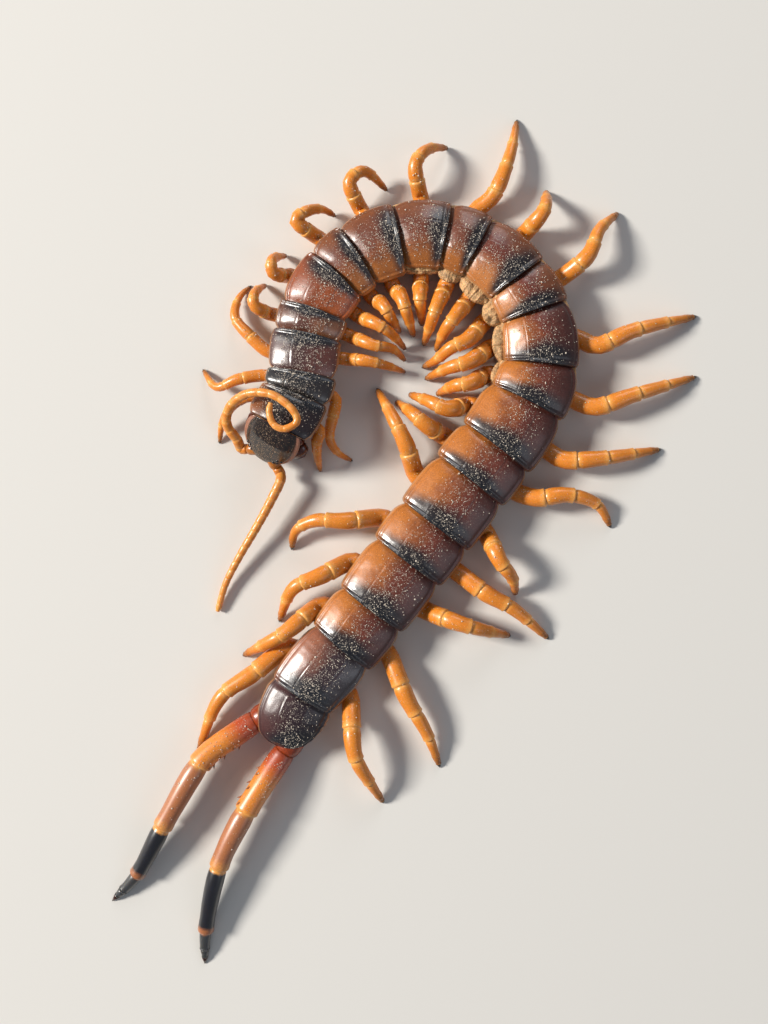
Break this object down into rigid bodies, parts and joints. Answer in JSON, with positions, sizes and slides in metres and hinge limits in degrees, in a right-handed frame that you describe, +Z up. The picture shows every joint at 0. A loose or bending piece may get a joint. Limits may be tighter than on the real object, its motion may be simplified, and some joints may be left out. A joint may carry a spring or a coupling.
{
  "type": "giant centipede",
  "caption": "Still, life-size giant centipede curled into a hook, with plated trunk, paired legs, long feelers and trailing end legs.",
  "frame": {"origin": "bottom centre of the animal's bounding box, on the floor under the belly", "axes": "+Z up from the floor, +Y from the trailing end legs towards the top of the hooked body, +X towards the outer side of the hook"},
  "size_m": [0.0804, 0.116, 0.0108],
  "materials": {
    "brick_back_plate": "semi-gloss chitin, brick red with orange flanks and blue-black rear bands",
    "dusty_black_cuticle": "satin black chitin with pale dust",
    "orange_cuticle": "glossy translucent orange chitin",
    "dark_end_leg": "glossy chitin, red-orange first articles and black ones after",
    "fang_cuticle": "glossy dark red-brown chitin with black tips"
  },
  "bodies": {
    "root": {"head": "dusty_black_cuticle", "antenna_left": "orange_cuticle", "antenna_right": "orange_cuticle", "forcipule_left": "fang_cuticle", "forcipule_right": "fang_cuticle", "trunk_01_03": "brick_back_plate", "trunk_04_06": "brick_back_plate", "trunk_07_09": "brick_back_plate", "trunk_10_12": "brick_back_plate", "trunk_13_15": "brick_back_plate", "trunk_16_18": "brick_back_plate", "trunk_19_21": "brick_back_plate", "leg_01_left": "orange_cuticle", "leg_01_right": "orange_cuticle", "leg_02_left": "orange_cuticle", "leg_02_right": "orange_cuticle", "leg_03_left": "orange_cuticle", "leg_03_right": "orange_cuticle", "leg_04_left": "orange_cuticle", "leg_04_right": "orange_cuticle", "leg_05_left": "orange_cuticle", "leg_05_right": "orange_cuticle", "leg_06_left": "orange_cuticle", "leg_06_right": "orange_cuticle", "leg_07_left": "orange_cuticle", "leg_07_right": "orange_cuticle", "leg_08_left": "orange_cuticle", "leg_08_right": "orange_cuticle", "leg_09_left": "orange_cuticle", "leg_09_right": "orange_cuticle", "leg_10_left": "orange_cuticle", "leg_10_right": "orange_cuticle", "leg_11_left": "orange_cuticle", "leg_11_right": "orange_cuticle", "leg_12_left": "orange_cuticle", "leg_12_right": "orange_cuticle", "leg_13_left": "orange_cuticle", "leg_13_right": "orange_cuticle", "leg_14_left": "orange_cuticle", "leg_14_right": "orange_cuticle", "leg_15_left": "orange_cuticle", "leg_15_right": "orange_cuticle", "leg_16_left": "orange_cuticle", "leg_16_right": "orange_cuticle", "leg_17_left": "orange_cuticle", "leg_17_right": "orange_cuticle", "leg_18_left": "orange_cuticle", "leg_18_right": "orange_cuticle", "leg_19_left": "orange_cuticle", "leg_19_right": "orange_cuticle", "leg_20_left": "orange_cuticle", "leg_20_right": "orange_cuticle", "leg_21_left": "dark_end_leg", "leg_21_right": "dark_end_leg"}
  },
  "joints": []
}
